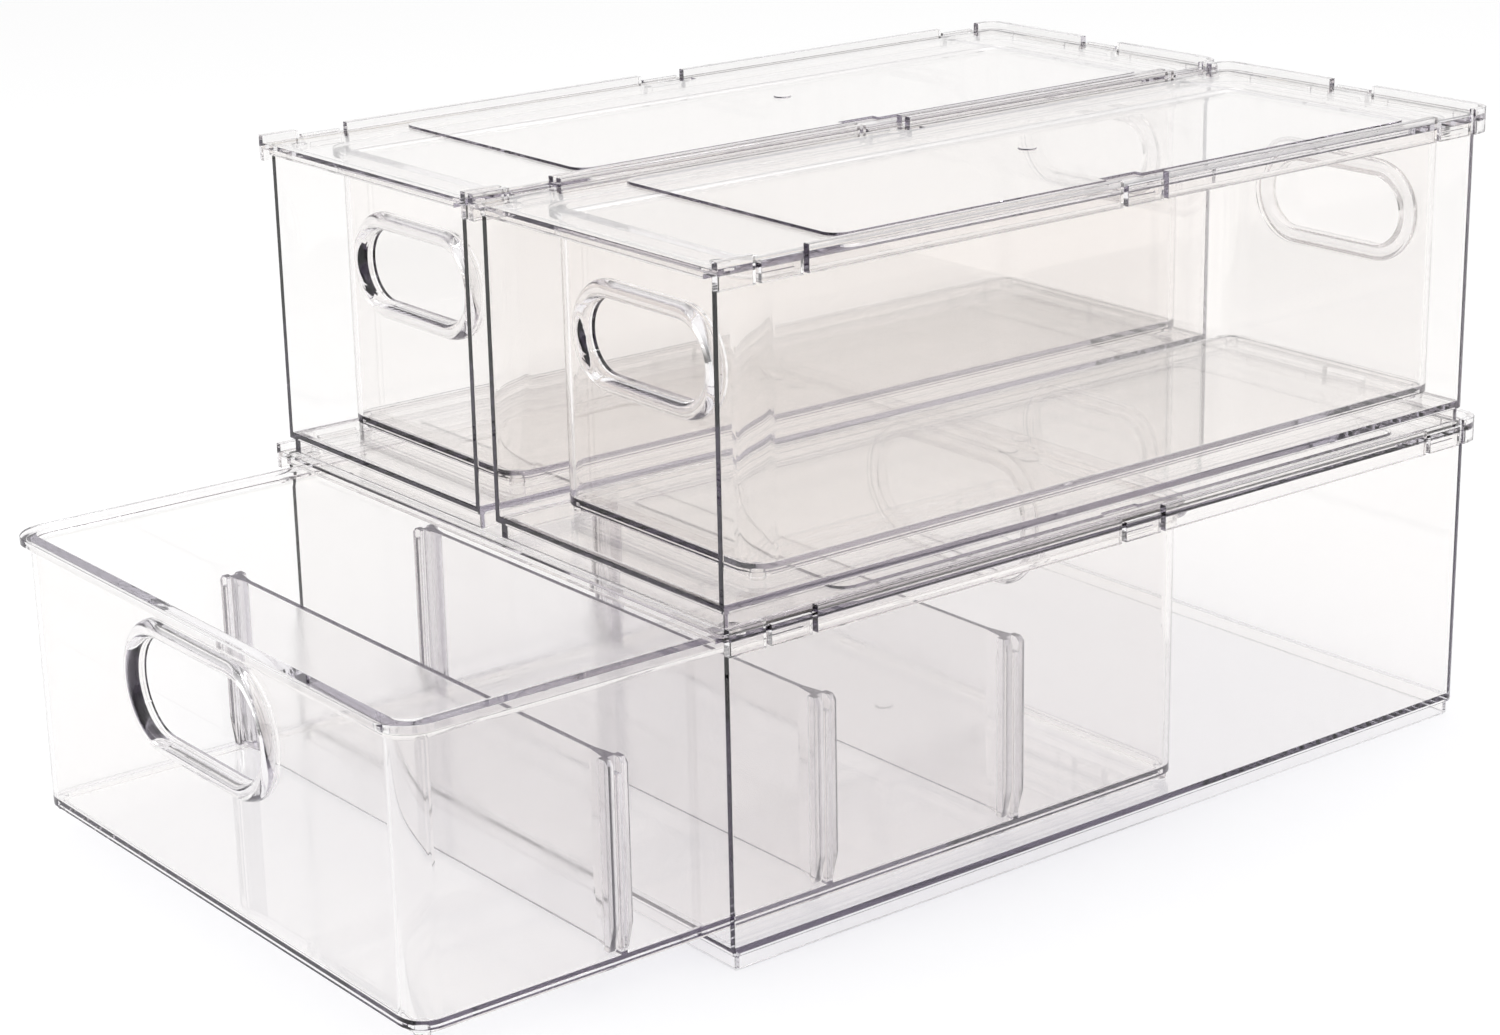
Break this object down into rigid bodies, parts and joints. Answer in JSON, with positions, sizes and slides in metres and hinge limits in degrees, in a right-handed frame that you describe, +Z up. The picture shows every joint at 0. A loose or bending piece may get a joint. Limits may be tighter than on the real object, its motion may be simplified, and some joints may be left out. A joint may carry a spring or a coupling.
{
  "type": "stackable fridge drawer bins",
  "caption": "Stack of clear open-front cases with press-on lids and pull-out drawers: a wide divided drawer below, narrow drawers side by side above.",
  "frame": {"origin": "bottom centre of the bounding box at rest, on the floor the foot of the wide case stands on, with the wide drawer drawn out as stored", "axes": "+Y from the drawer fronts to the closed rear walls (the longest extent), +Z up (the shortest extent), +X to the right seen from the front"},
  "size_m": [0.2492, 0.4312, 0.2144],
  "materials": {
    "case_plastic": "clear moulded plastic, polished, grey where seen edge-on",
    "lid_plastic": "clear moulded plastic, polished, grey where seen edge-on",
    "drawer_plastic": "clear moulded plastic, polished, grey where seen edge-on",
    "divider_plastic": "clear moulded plastic, polished, grey where seen edge-on"
  },
  "bodies": {
    "wide_case": {"wide_case": "case_plastic"},
    "wide_lid": {"wide_lid": "lid_plastic"},
    "wide_drawer": {"wide_drawer": "drawer_plastic"},
    "front_divider": {"front_divider": "divider_plastic"},
    "middle_divider": {"middle_divider": "divider_plastic"},
    "rear_divider": {"rear_divider": "divider_plastic"},
    "left_case": {"left_case": "case_plastic"},
    "left_lid": {"left_lid": "lid_plastic"},
    "left_drawer": {"left_drawer": "drawer_plastic"},
    "right_case": {"right_case": "case_plastic"},
    "right_lid": {"right_lid": "lid_plastic"},
    "right_drawer": {"right_drawer": "drawer_plastic"}
  },
  "joints": [
    {"name": "wide_drawer_slide", "type": "slide", "parent": "wide_case", "child": "wide_drawer", "axis": [0, -1, 0], "range_m": [-0.122, 0.128]},
    {"name": "wide_lid_lift", "type": "slide", "parent": "wide_case", "child": "wide_lid", "axis": [0, 0, 1], "range_m": [0, 0.06]},
    {"name": "front_divider_lift", "type": "slide", "parent": "wide_drawer", "child": "front_divider", "axis": [0, 0, 1], "range_m": [0, 0.025]},
    {"name": "middle_divider_lift", "type": "slide", "parent": "wide_drawer", "child": "middle_divider", "axis": [0, 0, 1], "range_m": [0, 0.025]},
    {"name": "rear_divider_lift", "type": "slide", "parent": "wide_drawer", "child": "rear_divider", "axis": [0, 0, 1], "range_m": [0, 0.025]},
    {"name": "left_case_lift", "type": "slide", "parent": "wide_lid", "child": "left_case", "axis": [0, 0, 1], "range_m": [0, 0.08]},
    {"name": "left_lid_lift", "type": "slide", "parent": "left_case", "child": "left_lid", "axis": [0, 0, 1], "range_m": [0, 0.06]},
    {"name": "left_drawer_slide", "type": "slide", "parent": "left_case", "child": "left_drawer", "axis": [0, -1, 0], "range_m": [0, 0.25]},
    {"name": "right_case_lift", "type": "slide", "parent": "wide_lid", "child": "right_case", "axis": [0, 0, 1], "range_m": [0, 0.08]},
    {"name": "right_lid_lift", "type": "slide", "parent": "right_case", "child": "right_lid", "axis": [0, 0, 1], "range_m": [0, 0.06]},
    {"name": "right_drawer_slide", "type": "slide", "parent": "right_case", "child": "right_drawer", "axis": [0, -1, 0], "range_m": [0, 0.25]}
  ]
}
